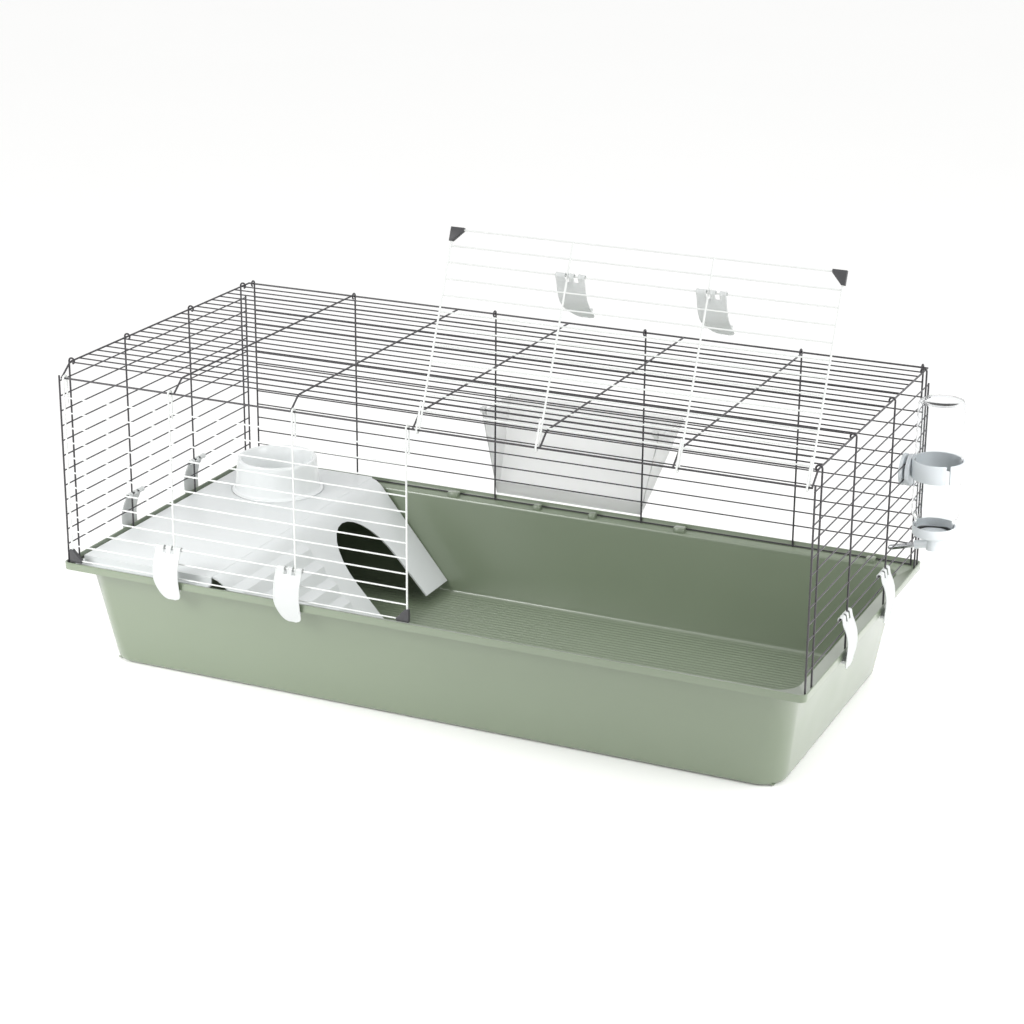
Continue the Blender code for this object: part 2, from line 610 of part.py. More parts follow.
outer = [(RACK_Y, RACK_BOTTOM), (RACK_Y + 0.006, RACK_BOTTOM), (RACK_Y + RACK_DEPTH, RACK_TOP), (RACK_Y, RACK_TOP)]
rack = make_node("hay_rack", *prism(outer, lambda a, b, end: (end * rack_half(b), a, b)), RACK_CLEAR)
inner_low = RACK_BOTTOM + RACK_T
inner_high = RACK_TOP + 0.01
shift = 0.006 - RACK_T * 1.29
inside = [
    (RACK_Y + RACK_T, inner_low), (RACK_Y + shift + RACK_SLOPE * RACK_T, inner_low),
    (RACK_Y + shift + RACK_SLOPE * (inner_high - RACK_BOTTOM), inner_high), (RACK_Y - 0.01, inner_high),
    (RACK_Y - 0.01, RACK_BOTTOM + RACK_LIP), (RACK_Y + RACK_T, RACK_BOTTOM + RACK_LIP),
]
hollow = prism(inside, lambda a, b, end: (end * (rack_half(b) - RACK_T), a, b))
combine(rack, cutter("rack_hollow", *hollow), "DIFFERENCE")
HOOK_WIRE_Z = FIRST_RAIL_Z + 6 * RAIL_PITCH
hook_out = BACK_Y + THICK / 2 + 0.0013
hook_in = BACK_Y - THICK / 2 - 0.0013
hook_over = HOOK_WIRE_Z + RAIL_WIDTH / 2 + 0.0013
hook_outline = [
    (hook_out, RACK_TOP - 0.007), (hook_out, hook_over), (hook_in, hook_over), (hook_in, HOOK_WIRE_Z - 0.0041),
    (hook_in - 0.002, HOOK_WIRE_Z - 0.0041), (hook_in - 0.002, hook_over + 0.002),
    (hook_out + 0.002, hook_over + 0.002), (hook_out + 0.002, RACK_TOP - 0.007),
]
for name, side in (("left", -1), ("right", 1)):
    middle = side * (RACK_HALF_HIGH - 0.0048)
    hook = prism(hook_outline, lambda a, b, end: (middle + end * 0.004, a, b))
    combine(rack, cutter(f"rack_{name}_hook", *hook), "UNION")

# Drinker holder: a split collar on a jaw outside the right wall, drawn against a disc inside it by one screw.
collar_low = COLLAR_Z
collar_high = COLLAR_Z + COLLAR_HEIGHT
collar_r = BOTTLE_R + COLLAR_GAP
collar_turns = [SPLIT_TURN + 0.08 + (2 * pi - 0.16) * k / 32 for k in range(33)]
collar_rows = ((collar_r, collar_low), (collar_r + COLLAR_T, collar_low), (collar_r + COLLAR_T, collar_high), (collar_r, collar_high))
collar_points = [(DRINK_X + r * cos(a), DRINK_Y + r * sin(a), z) for a in collar_turns for r, z in collar_rows]
collar_faces = [(0, 1, 2, 3), (128, 129, 130, 131)]
for k in range(32):
    for m in range(4):
        n = (m + 1) % 4
        collar_faces.append((4 * k + m, 4 * k + n, 4 * k + 4 + n, 4 * k + 4 + m))
collar = make_node("holder_collar", collar_points, collar_faces, HOLDER_GREY)
jaw_x = SIDE_X + THICK / 2 + 0.0006
jaw = rod((jaw_x, DRINK_Y, STUD_Z), (jaw_x + 0.0063, DRINK_Y, STUD_Z), JAW_R, 24)
combine(collar, cutter("jaw_solid", *jaw), "UNION")
stud_way = rod((jaw_x - 0.005, DRINK_Y, STUD_Z), (jaw_x + 0.0046, DRINK_Y, STUD_Z), STUD_R + 0.0003, 16)
combine(collar, cutter("collar_stud_way", *stud_way), "DIFFERENCE")

disc_x = SIDE_X - THICK / 2 - 0.0006
disc = make_node("holder_clamp_disc", *rod((disc_x - 0.005, DRINK_Y, STUD_Z), (disc_x, DRINK_Y, STUD_Z), JAW_R, 24), HOLDER_GREY)
disc_way = rod((disc_x - 0.01, DRINK_Y, STUD_Z), (disc_x + 0.005, DRINK_Y, STUD_Z), STUD_R + 0.0003, 16)
combine(disc, cutter("disc_stud_way", *disc_way), "DIFFERENCE")

head_x = disc_x - 0.0055
screw_length = jaw_x + 0.0041 - head_x
screw_profile = [(0, -0.0045), (0.0060, -0.0045), (0.0070, -0.0035), (0.0070, 0), (STUD_R, 0), (STUD_R, screw_length), (0, screw_length)]
screw = make_node("holder_screw", *turned(screw_profile, 16), SCREW_GREY)
screw.location = (head_x, DRINK_Y, STUD_Z)
screw.rotation_euler = (0, radians(90), 0)

# Drinker: a clear bottle, mouth down, screwed into a cap with a seal and a steel spout closed by a ball.
wall_r = BOTTLE_R - BOTTLE_T
height = BOTTLE_TOP - BOTTLE_BOTTOM
bottle_profile = [
    (NECK_R, 0), (NECK_R, 0.0165), (BOTTLE_R - 0.0020, 0.0240), (BOTTLE_R, 0.0295), (BOTTLE_R, height - 0.007),
    (BOTTLE_R - 0.0012, height - 0.0028), (BOTTLE_R - 0.0045, height), (0.0, height),
]
bottle_inside = [
    (0.0, height - BOTTLE_T), (wall_r - 0.0045, height - BOTTLE_T), (wall_r - 0.0010, height - 0.0045),
    (wall_r, height - 0.008), (wall_r, 0.0298), (wall_r - 0.0019, 0.0248), (NECK_R - BOTTLE_T, 0.0172), (NECK_R - BOTTLE_T, 0),
]
outside_rows = bottle_profile[:-1]
inside_rows = bottle_inside[1:]
rows = outside_rows + inside_rows
around = 32
bottle_points = [
    (radius * cos(2 * pi * k / around), radius * sin(2 * pi * k / around), z) for radius, z in rows for k in range(around)
]
bottle_faces = []
for row in range(len(rows)):
    after = (row + 1) % len(rows)
    if row == len(outside_rows) - 1:
        continue
    for k in range(around):
        m = (k + 1) % around
        bottle_faces.append((row * around + k, row * around + m, after * around + m, after * around + k))
top_row = len(outside_rows) - 1
bottle_faces.append(tuple(range(top_row * around, (top_row + 1) * around)))
bottle_faces.append(tuple(range((top_row + 1) * around, (top_row + 2) * around)))
bottle = make_node("bottle", bottle_points, bottle_faces, BOTTLE_CLEAR, None, True)
bottle.location = (DRINK_X, DRINK_Y, BOTTLE_BOTTOM)

cap_low = BOTTLE_BOTTOM - 0.0048
cap_profile = [
    (0, 0), (CAP_R - 0.0015, 0), (CAP_R, 0.0015), (CAP_R, 0.015), (NECK_R + 0.0017, 0.015), (NECK_R + 0.0017, 0.0025), (0, 0.0025),
]
cap_shape = turned(cap_profile, 32)
cap_points = [(x + DRINK_X, y + DRINK_Y, z + cap_low) for x, y, z in cap_shape[0]]
bottle_cap = make_node("bottle_cap", cap_points, cap_shape[1], CAP_GREY)
along = Vector((-cos(SPOUT_DROP), 0, -sin(SPOUT_DROP)))
tip = Vector((SPOUT_TIP_X, DRINK_Y, SPOUT_TIP_Z))
nozzle_root = tip - along * ((DRINK_X - SPOUT_TIP_X) / cos(SPOUT_DROP))
nozzle_mouth = tip - along * 0.0395
stub = rod((DRINK_X, DRINK_Y, nozzle_root.z - 0.0105), (DRINK_X, DRINK_Y, cap_low + 0.001), 0.010, 24)
combine(bottle_cap, cutter("cap_stub", *stub), "UNION")
combine(bottle_cap, cutter("cap_nozzle", *rod(nozzle_root, nozzle_mouth, 0.0065, 20)), "UNION")
combine(bottle_cap, cutter("spout_way", *rod(nozzle_root - along * 0.002, nozzle_mouth + along * 0.01, SPOUT_R + 0.0003, 16)), "DIFFERENCE")
combine(bottle_cap, cutter("water_way", *rod(nozzle_root, (DRINK_X, DRINK_Y, cap_low + 0.01), 0.0037, 12)), "DIFFERENCE")
seal_shape = turned([(SEAL_R, 0), (NECK_R - 0.0003, 0), (NECK_R - 0.0003, 0.0017), (SEAL_R, 0.0017)], 24)
seal = make_node("cap_seal", *seal_shape, SEAL_BLACK)
seal.location = (DRINK_X, DRINK_Y, cap_low + 0.0028)

spout_length = 0.0475
spout_shape = turned([(SPOUT_BORE, 0), (SPOUT_R, 0), (SPOUT_R, spout_length), (SPOUT_BORE, spout_length)], 20)
spout = make_node("drinking_spout", *spout_shape, STEEL, None, True)
spout.location = tip - along * spout_length
spout.rotation_euler = along.to_track_quat("Z", "Y").to_euler()
ball_profile = [(0, -BALL_R)]
ball_profile += [(BALL_R * sin(pi * k / 8), -BALL_R * cos(pi * k / 8)) for k in range(1, 8)]
ball_profile.append((0, BALL_R))
ball = make_node("spout_ball", *turned(ball_profile, 14), STEEL, None, True)
ball.location = tip
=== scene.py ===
"""Indoor rabbit cage: the looks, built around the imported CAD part."""

import json

import bmesh
import bpy
import numpy as np
from mathutils import Matrix, Vector


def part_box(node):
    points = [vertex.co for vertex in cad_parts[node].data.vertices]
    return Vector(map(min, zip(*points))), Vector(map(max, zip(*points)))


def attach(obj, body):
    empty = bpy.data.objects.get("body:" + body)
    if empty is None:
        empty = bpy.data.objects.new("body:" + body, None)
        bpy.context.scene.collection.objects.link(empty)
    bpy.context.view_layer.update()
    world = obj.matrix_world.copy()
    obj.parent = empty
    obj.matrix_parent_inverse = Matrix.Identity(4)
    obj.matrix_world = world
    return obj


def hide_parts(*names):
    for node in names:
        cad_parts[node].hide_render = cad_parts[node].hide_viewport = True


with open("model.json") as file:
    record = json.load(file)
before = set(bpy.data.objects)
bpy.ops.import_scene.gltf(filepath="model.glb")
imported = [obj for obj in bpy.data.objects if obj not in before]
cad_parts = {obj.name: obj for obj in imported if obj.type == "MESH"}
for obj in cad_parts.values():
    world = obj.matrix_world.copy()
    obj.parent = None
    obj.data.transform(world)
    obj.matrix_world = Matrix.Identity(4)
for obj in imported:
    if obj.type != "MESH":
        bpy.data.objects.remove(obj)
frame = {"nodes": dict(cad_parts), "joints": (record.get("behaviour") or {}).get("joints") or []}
NODES = frame["nodes"]
JOINTS = {joint["name"]: joint for joint in frame["joints"]}
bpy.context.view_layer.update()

# ---------------------------------------------------------------- dark walls and roof
# The walls and the roof are welded grids of round steel wire with a dark, slightly orange-peeled coating.
# The tall wires stand outside with the level wires pressed into them, and their ends curl over the roof's edge.
def linear(hex_colour):
    """An sRGB hex colour as linear RGBA."""
    channels = np.array([int(hex_colour[k : k + 2], 16) for k in (1, 3, 5)]) / 255
    flat = np.where(channels <= 0.04045, channels / 12.92, ((channels + 0.055) / 1.055) ** 2.4)
    return (*[float(v) for v in flat], 1.0)


def add(tree, kind, inputs=None, **settings):
    """Adds a node: settings are its properties, inputs are values or sockets to link."""
    node = tree.nodes.new(kind)
    for key, value in settings.items():
        setattr(node, key, value)
    for socket, value in (inputs or {}).items():
        if isinstance(value, bpy.types.NodeSocket):
            tree.links.new(value, node.inputs[socket])
        else:
            node.inputs[socket].default_value = value
    return node


def surface(name, colour, second, rough, grain_mm, depth_mm, patch_mm=60.0, stretch=(1, 1, 1), **shader):
    """A coated or moulded surface.

    Two close tones mix in soft patches, roughness drifts by a seventh, and a fine grain of the given size and
    depth raises the surface. Other Principled inputs follow as keywords, with spaces written as underscores.
    """
    made = bpy.data.materials.new(name)
    made.use_nodes = True
    tree = made.node_tree
    principled = tree.nodes["Principled BSDF"]
    place = add(tree, "ShaderNodeTexCoord").outputs["Object"]
    scaled = add(tree, "ShaderNodeMapping", {"Vector": place, "Scale": stretch}).outputs["Vector"]
    patches = add(tree, "ShaderNodeTexNoise", {"Vector": place, "Scale": 1000 / patch_mm, "Detail": 3.0})
    tones = {"Factor": patches.outputs["Fac"], 6: linear(colour), 7: linear(second)}
    tone = add(tree, "ShaderNodeMix", tones, data_type="RGBA")
    tree.links.new(tone.outputs[2], principled.inputs["Base Color"])
    drift = add(tree, "ShaderNodeTexNoise", {"Vector": scaled, "Scale": 2500 / patch_mm, "Detail": 1.0})
    about = {"Value": drift.outputs["Fac"], "To Min": rough * 0.85, "To Max": rough * 1.15}
    spread = add(tree, "ShaderNodeMapRange", about)
    tree.links.new(spread.outputs["Result"], principled.inputs["Roughness"])
    grain = add(tree, "ShaderNodeTexNoise", {"Vector": scaled, "Scale": 1000 / grain_mm, "Detail": 2.0})
    raised = {"Height": grain.outputs["Fac"], "Distance": depth_mm / 1000, "Strength": 0.5}
    bump = add(tree, "ShaderNodeBump", raised)
    tree.links.new(bump.outputs["Normal"], principled.inputs["Normal"])
    for key, value in shader.items():
        principled.inputs[key.replace("_", " ")].default_value = value
    return made


def piece(name, points, faces, look, node, body, slot, sharp=35.0):
    """One finished mesh at the origin that stands for a CAD node and rides on its body."""
    mesh = bpy.data.meshes.new(name)
    mesh.from_pydata(np.asarray(points, float).tolist(), [], [list(face) for face in faces])
    mesh.shade_smooth()
    mesh.set_sharp_from_angle(angle=float(np.radians(sharp)))
    mesh.materials.append(look)
    made = bpy.data.objects.new(name, mesh)
    bpy.context.scene.collection.objects.link(made)
    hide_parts(node)
    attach(made, body)
    return made


def merged(parts):
    """Points and faces of several shapes as one."""
    points = []
    faces = []
    count = 0
    for part_points, part_faces in parts:
        points.append(part_points)
        faces += [[count + k for k in face] for face in part_faces]
        count += len(part_points)
    return np.concatenate(points), faces


def skin(rows, sides, ring=False):
    """Quads between neighbouring rows of points: each row closes on itself, and a ring joins the last to the first."""
    row = np.arange(rows if ring else rows - 1)[:, None] * sides
    after = (row + sides) % (rows * sides)
    k = np.arange(sides)
    m = (k + 1) % sides
    return np.stack([row + k, row + m, after + m, after + k], axis=2).reshape(-1, 4).tolist()


def capped(rows, sides):
    """A skin with a flat face over its first and its last row."""
    total = rows * sides
    return [list(range(sides))[::-1], list(range(total - sides, total))] + skin(rows, sides)


def wire(path, radius, sides=10):
    """A round wire along a path: rings stand square to its mean direction, and both ends are rounded."""
    path = np.asarray(path, float)
    first = path[1] - path[0]
    last = path[-1] - path[-2]
    first = first / np.linalg.norm(first)
    last = last / np.linalg.norm(last)
    centres = np.concatenate(
        [[path[0], path[0] + first * radius * 0.3], path[1:-1], [path[-1] - last * radius * 0.3, path[-1]]]
    )
    radii = np.full(len(centres), radius)
    radii[[0, -1]] = radius * 0.7
    steps = np.diff(centres, axis=0)
    steps = steps / np.linalg.norm(steps, axis=1)[:, None]
    along = np.concatenate([steps[:1], steps[:-1] + steps[1:], steps[-1:]])
    along = along / np.linalg.norm(along, axis=1)[:, None]
    across = np.cross(along[0], [0.31, 0.52, 0.79])
    rings = []
    turns = np.arange(sides) * 2 * np.pi / sides
    for centre, direction, size in zip(centres, along, radii):
        across = across - direction * (across @ direction)
        across = across / np.linalg.norm(across)
        beside = np.cross(direction, across)
        rings.append(centre + size * (np.cos(turns)[:, None] * across + np.sin(turns)[:, None] * beside))
    return np.concatenate(rings), capped(len(centres), sides)


def hooked(height, turn, tail=0.0, ring=0.0045):
    """(v, n) points of a wire end that turns inwards, by this angle, over the wire at this height."""
    angles = np.radians(np.linspace(0, turn, 13))
    path = np.stack([height + ring * np.sin(angles), ring * np.cos(angles) - ring], axis=1)
    if tail:
        path = np.concatenate([path, [[height - tail * 0.5, -2 * ring], [height - tail, -2 * ring]]])
    return path


POST_R = 0.00145
RAIL_R = 0.0011
SOLID_R = 0.0015  # half the thickness of a wire in the solids, so what lies between a box and a wire's middle
OVERHANG = 0.0013  # how far a level wire runs past the last tall one
PITCH = 0.0234
ROOF_PITCH = 0.024
ROOF_RAILS = 22
DARK_WIRE = surface(
    "dark coated wire", "#2b292d", "#363337", 0.36, 2.5, 0.01, 40.0, Coat_Weight=0.2, Coat_Roughness=0.2,
    Specular_IOR_Level=0.5,
)


def wall(posts, rails, place):
    """Tall wires as (u, foot, top path) and level wires as (v, low, high), laid out by place(u, v, n)."""
    parts = []
    for u, foot, top in posts:
        path = np.concatenate([[[foot, 0.0]], top])
        parts.append(wire([place(u, v, n) for v, n in path], POST_R))
    for v, low, high in rails:
        parts.append(wire([place(low, v, -0.0004), place(high, v, -0.0004)], RAIL_R, 8))
    return merged(parts)


left_low, left_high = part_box("left_side_grille")
right_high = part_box("right_side_grille")[1]
roof_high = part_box("roof_grille")[1]
back_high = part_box("back_grille")[1]
HINGE = np.array(JOINTS["left_door_swing"]["pos_m"], float)
FOOT_Z = left_low.z
ROOF_Z = roof_high.z - SOLID_R
SIDE_X = right_high.x - SOLID_R
BACK_Y = back_high.y - SOLID_R
ROOF_BACK_Y = BACK_Y - 0.0045
BEND_Y = ROOF_BACK_Y - ROOF_RAILS * ROOF_PITCH
RAIL_ZS = np.concatenate([[FOOT_Z + 0.0018], FOOT_Z + 0.0120 + PITCH * np.arange(1, 13)])
clip_ys = [JOINTS[f"left_side_{end}_clip_swing"]["pos_m"][1] for end in ("front", "rear")]
side_curls = [BEND_Y + 0.004, *clip_ys, ROOF_BACK_Y - 0.02]
front_y = left_low.y + SOLID_R
rear_y = left_high.y - SOLID_R
for name, side in (("left", -1), ("right", 1)):
    posts = [(y, FOOT_Z, hooked(ROOF_Z, 250)) for y in side_curls]
    posts.append((front_y, FOOT_Z, np.array([[HINGE[2] + 0.0034, 0.0]])))
    posts.append((rear_y, FOOT_Z, np.array([[RAIL_ZS[-1] + 0.0024, 0.0]])))
    rails = [(z, front_y - OVERHANG, rear_y + OVERHANG) for z in RAIL_ZS]
    grid = wall(posts, rails, lambda u, v, n: (side * (SIDE_X + n), u, v))
    piece(f"{name}_side_wires", *grid, DARK_WIRE, f"{name}_side_grille", "cage_base", "dark_wire")

back_end = back_high.x - SOLID_R
back_posts = [(s * x, FOOT_Z, hooked(ROOF_Z, 250)) for x in (0.129, 0.3839, back_end) for s in (-1, 1)]
back_rails = [(z, -back_end - OVERHANG, back_end + OVERHANG) for z in RAIL_ZS]
grid = wall(back_posts, back_rails, lambda u, v, n: (u, BACK_Y + n, v))
piece("back_wires", *grid, DARK_WIRE, "back_grille", "cage_base", "dark_wire")

half_roof = roof_high.x - SOLID_R
roof_end = half_roof + 0.0012
rise = np.array([BEND_Y - HINGE[1], ROOF_Z - HINGE[2]])
rise_unit = rise / np.linalg.norm(rise)
profile = [HINGE[1:], np.array([BEND_Y, ROOF_Z]) - rise_unit * 0.005]
for share in (0.25, 0.5, 0.75):
    soft = (1 - share) ** 2 * profile[1] + 2 * share * (1 - share) * np.array([BEND_Y, ROOF_Z])
    profile.append(soft + share**2 * np.array([BEND_Y + 0.005, ROOF_Z]))
profile += [np.array([BEND_Y + 0.005, ROOF_Z]), np.array([ROOF_BACK_Y, ROOF_Z])]
parts = [wire([(x, y, z) for y, z in profile], POST_R) for x in np.linspace(-half_roof, half_roof, 7)]
for y in BEND_Y + ROOF_PITCH * np.arange(ROOF_RAILS):
    parts.append(wire([(x, y, ROOF_Z - 0.0003) for x in (-roof_end, roof_end)], RAIL_R, 8))
for y, z in (HINGE[1:], (ROOF_BACK_Y, ROOF_Z)):
    parts.append(wire([(x, y, z) for x in (-roof_end, roof_end)], POST_R))
piece("roof_wires", *merged(parts), DARK_WIRE, "roof_grille", "cage_base", "dark_wire")

# ---------------------------------------------------------------- doors
# Each door is a welded grid of white coated wire. Its tall wires hook over the roof's front wire, so the door
# turns about that wire. The left door hangs shut, and the right one is laid back over the roof.
WHITE_WIRE = surface(
    "white coated wire", "#d9dbd9", "#d1d4d2", 0.34, 2.5, 0.01, 40.0, Coat_Weight=0.3, Coat_Roughness=0.2
)
door_low, door_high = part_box("left_door_grille")
LAID_BACK = np.radians(JOINTS["right_door_swing"]["range_deg"][1])
clip_xs = [-JOINTS[f"left_door_{end}_clip_swing"]["pos_m"][0] for end in ("inner", "outer")]
DOOR_POSTS = [SOLID_R - door_high.x, *clip_xs, -door_low.x - SOLID_R]
DOOR_RAIL_R = 0.00118
HOOK_DROP = 0.0045  # the door's wires hang this far in front of the wire that their hooks turn on
door_rails = door_low.z + 0.0012 + PITCH * np.arange(12) - HINGE[2]


def about_hinge(points, turn):
    """Points measured from the hinge wire, turned about the X axis and set on it."""
    y = points[:, 1] * np.cos(turn) - points[:, 2] * np.sin(turn)
    z = points[:, 1] * np.sin(turn) + points[:, 2] * np.cos(turn)
    return np.stack([points[:, 0], y + HINGE[1], z + HINGE[2]], axis=1)


for name, side, turn in (("left", -1, 0.0), ("right", 1, -LAID_BACK)):
    parts = []
    for x in DOOR_POSTS:
        path = np.concatenate([[[door_rails[0] - 0.0010, 0.0]], hooked(0.0, 180, 0.04)])
        parts.append(wire([(side * x, -HOOK_DROP - n, v) for v, n in path], POST_R))
    ends = (side * (DOOR_POSTS[0] - OVERHANG), side * (DOOR_POSTS[3] + OVERHANG))
    for v in door_rails:
        parts.append(wire([(x, -HOOK_DROP, v) for x in ends], DOOR_RAIL_R, 8))
    points, faces = merged(parts)
    points = about_hinge(points, turn)
    node = f"{name}_door_grille"
    piece(f"{name}_door_wires", points, faces, WHITE_WIRE, node, f"{name}_door", "white_wire")

# ---------------------------------------------------------------- corner caps
# Small moulded triangles of dark grey plastic, snapped over the wire corners of the doors' free edges.
DARK_CAP = surface("dark grey plastic", "#38383a", "#404042", 0.42, 0.5, 0.03, 20.0)


def softened(node, name, look, body, edge_mm, rings=2, angle=28.0, smooth=35.0):
    """The CAD node's own surface with its points joined and its edges rounded by this radius."""
    mesh = NODES[node].data.copy()
    mesh.name = name
    shape = bmesh.new()
    shape.from_mesh(mesh)
    bmesh.ops.remove_doubles(shape, verts=shape.verts, dist=1e-6)
    flat = float(np.radians(1.0))
    bmesh.ops.dissolve_limit(shape, angle_limit=flat, verts=shape.verts, edges=shape.edges)
    edges = [e for e in shape.edges if len(e.link_faces) == 2 and e.calc_face_angle(0) > np.radians(angle)]
    radius = edge_mm / 1000
    bmesh.ops.bevel(shape, geom=edges, offset=radius, segments=rings, profile=0.5, affect="EDGES", clamp_overlap=True)
    bmesh.ops.recalc_face_normals(shape, faces=shape.faces)
    shape.to_mesh(mesh)
    shape.free()
    mesh.materials.clear()
    mesh.materials.append(look)
    mesh.shade_smooth()
    mesh.set_sharp_from_angle(angle=float(np.radians(smooth)))
    made = bpy.data.objects.new(name, mesh)
    bpy.context.scene.collection.objects.link(made)
    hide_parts(node)
    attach(made, body)
    return made


for side in ("left", "right"):
    for end in ("outer", "inner"):
        node = f"{side}_door_{end}_corner_cap"
        softened(node, f"{side}_{end}_corner_cap", DARK_CAP, f"{side}_door", 0.35)

# ---------------------------------------------------------------- clips
# One white moulding each: three fingers curled round a wall wire above, a bowed strap, and inside it a tooth
# that catches under the tray's rim. The strap narrows in a curve at its lower left.
CLIP_WHITE = surface(
    "white clip plastic", "#c6c9c8", "#c0c3c2", 0.34, 2.0, 0.004, 30.0, Subsurface_Weight=0.08,
    Subsurface_Radius=(0.003, 0.003, 0.003),
)
CLIP_SPAN = 0.0435
CLIP_HALF = 0.00088


def strip(path, low, high, half):
    """A strap along path between the edges low and high, its edges rounded and a panel sunk between raised rims."""
    path = np.asarray(path, float)
    steps = np.gradient(path, axis=0)
    steps = steps / np.linalg.norm(steps, axis=1)[:, None]
    normal = np.stack([steps[:, 1], -steps[:, 0]], axis=1)
    turns = np.radians([-90, -45, 0, 45, 90])
    edge = half * 0.9
    panel_u = np.array([-0.0020, -0.0027, 0.0027, 0.0020])
    panel_n = half - np.array([0, 0.0005, 0.0005, 0])
    rim_u = np.concatenate([edge * np.cos(turns) - edge, panel_u, -(edge * np.cos(turns[::-1]) - edge)])
    rim_n = np.concatenate([half * np.sin(turns), panel_n, half * np.sin(turns[::-1])])
    from_high = np.array([1] * 7 + [0] * 7)
    u = np.where(from_high[None, :], high[:, None], low[:, None]) + rim_u[None, :]
    n = np.repeat(rim_n[None, :], len(path), axis=0)
    out = path[:, 0:1] + normal[:, 0:1] * n
    down = path[:, 1:2] + normal[:, 1:2] * n
    points = np.stack([u, -out, -down], axis=2).reshape(-1, 3)
    return points, capped(len(path), len(rim_u))


def through(knots, count):
    """A smooth curve through the knots: Catmull-Rom, read at even steps."""
    knots = np.asarray(knots, float)
    padded = np.concatenate([[2 * knots[0] - knots[1]], knots, [2 * knots[-1] - knots[-2]]])
    t = np.linspace(0, len(knots) - 1 - 1e-9, count)
    k = t.astype(int)
    f = (t - k)[:, None]
    a, b, c, d = padded[k], padded[k + 1], padded[k + 2], padded[k + 3]
    return 0.5 * (2 * b + (c - a) * f + (2 * a - 5 * b + 4 * c - d) * f**2 + (3 * b - a - 3 * c + d) * f**3)


ring_turns = np.radians(np.linspace(345, 100, 22))
ring_path = 0.0034 * np.stack([np.sin(ring_turns), np.cos(ring_turns)], axis=1)
bow = [(0.0049, 0.0072), (0.0095, 0.018), (0.0126, 0.030), (0.0133, 0.042), (0.0119, 0.054), (0.0095, 0.066)]
strap = through(bow + [(0.0067, 0.0788)], 40)
neck = through([(0.0034, 0.0005), (0.0042, 0.0045), (0.0052, 0.0080), (0.0070, 0.0125)], 8)
finger_path = np.concatenate([ring_path, neck])
parts = []
even = np.ones(len(finger_path))
for low, high in ((0.0001, 0.0144), (0.0196, 0.0274), (0.0336, CLIP_SPAN - 0.0001)):
    parts.append(strip(finger_path, low * even, high * even, CLIP_HALF * 0.98))
CORNER_R = 0.009
curve = np.clip((strap[:, 1] - 0.042) / 0.037, 0, None)
past = np.clip((strap[:, 1] - strap[-1, 1] + CORNER_R) / CORNER_R, 0, 1)
rounding = CORNER_R * (1 - np.sqrt(1 - past**2))
strap_low = 0.0002 + 0.016 * curve**2 + 0.6 * rounding
parts.append(strip(strap, strap_low, CLIP_SPAN - 0.0001 - rounding, CLIP_HALF))
tooth_out = np.array([0.0098, 0.0021, 0.0023, 0.0092])
tooth_down = np.array([0.0624, 0.0632, 0.0662, 0.0668])
tooth = np.array([(u, -o, -d) for u in (0.0075, CLIP_SPAN - 0.003) for o, d in zip(tooth_out, tooth_down)])
parts.append((tooth, [[0, 1, 2, 3], [7, 6, 5, 4], [0, 4, 5, 1], [1, 5, 6, 2], [2, 6, 7, 3], [3, 7, 4, 0]]))
clip_points, clip_faces = merged(parts)
OPENED = -LAID_BACK - np.radians(120)  # a clip on the laid-back door stands open as well
CLIPS = (
    ("left_door_outer", 0, 0.0, 0.0310),
    ("left_door_inner", 0, 0.0, 0.0310),
    ("right_door_outer", 0, OPENED, 0.0170),
    ("right_door_inner", 0, OPENED, 0.0170),
    ("left_side_front", -90, 0.0, 0.0310),
    ("left_side_rear", -90, 0.0, 0.0310),
    ("right_side_front", 90, 0.0, 0.0310),
    ("right_side_rear", 90, 0.0, 0.0310),
)  # name, which way it faces, how far it is swung up, and where its wire runs between the fingers
for name, heading, swung, slot_x in CLIPS:
    pivot = np.array(JOINTS[f"{name}_clip_swing"]["pos_m"], float)
    turn = Matrix.Rotation(np.radians(heading), 3, "Z") @ Matrix.Rotation(float(swung), 3, "X")
    points = (clip_points - [slot_x, 0, 0]) @ np.array(turn).T + pivot
    clip = f"{name}_clip"
    piece(f"{clip}_moulding", points, clip_faces, CLIP_WHITE, clip, clip, "clip_white")

# ---------------------------------------------------------------- tray
# One injection-moulded tub of glossy sage green polypropylene. The wall leans in to a rounded foot, the rim is
# a flat ledge inside a low lip, and the floor is finely ribbed along the length.
tray_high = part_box("tray")[1]
RIM_X = tray_high.x
RIM_Y = tray_high.y
LIP_TOP = tray_high.z


def rounded_ring(inset, z, radius, steps=12):
    """A rounded rectangle this far inside the rim: four straight sides joined by quarter circles."""
    ring = []
    for quarter, (sx, sy) in enumerate(((1, 1), (-1, 1), (-1, -1), (1, -1))):
        turns = (quarter + np.linspace(0, 1, steps + 1)) * np.pi / 2
        x = sx * (RIM_X - inset - radius) + radius * np.cos(turns)
        y = sy * (RIM_Y - inset - radius) + radius * np.sin(turns)
        ring.append(np.stack([x, y, np.full(steps + 1, z)], axis=1))
    return np.concatenate(ring)


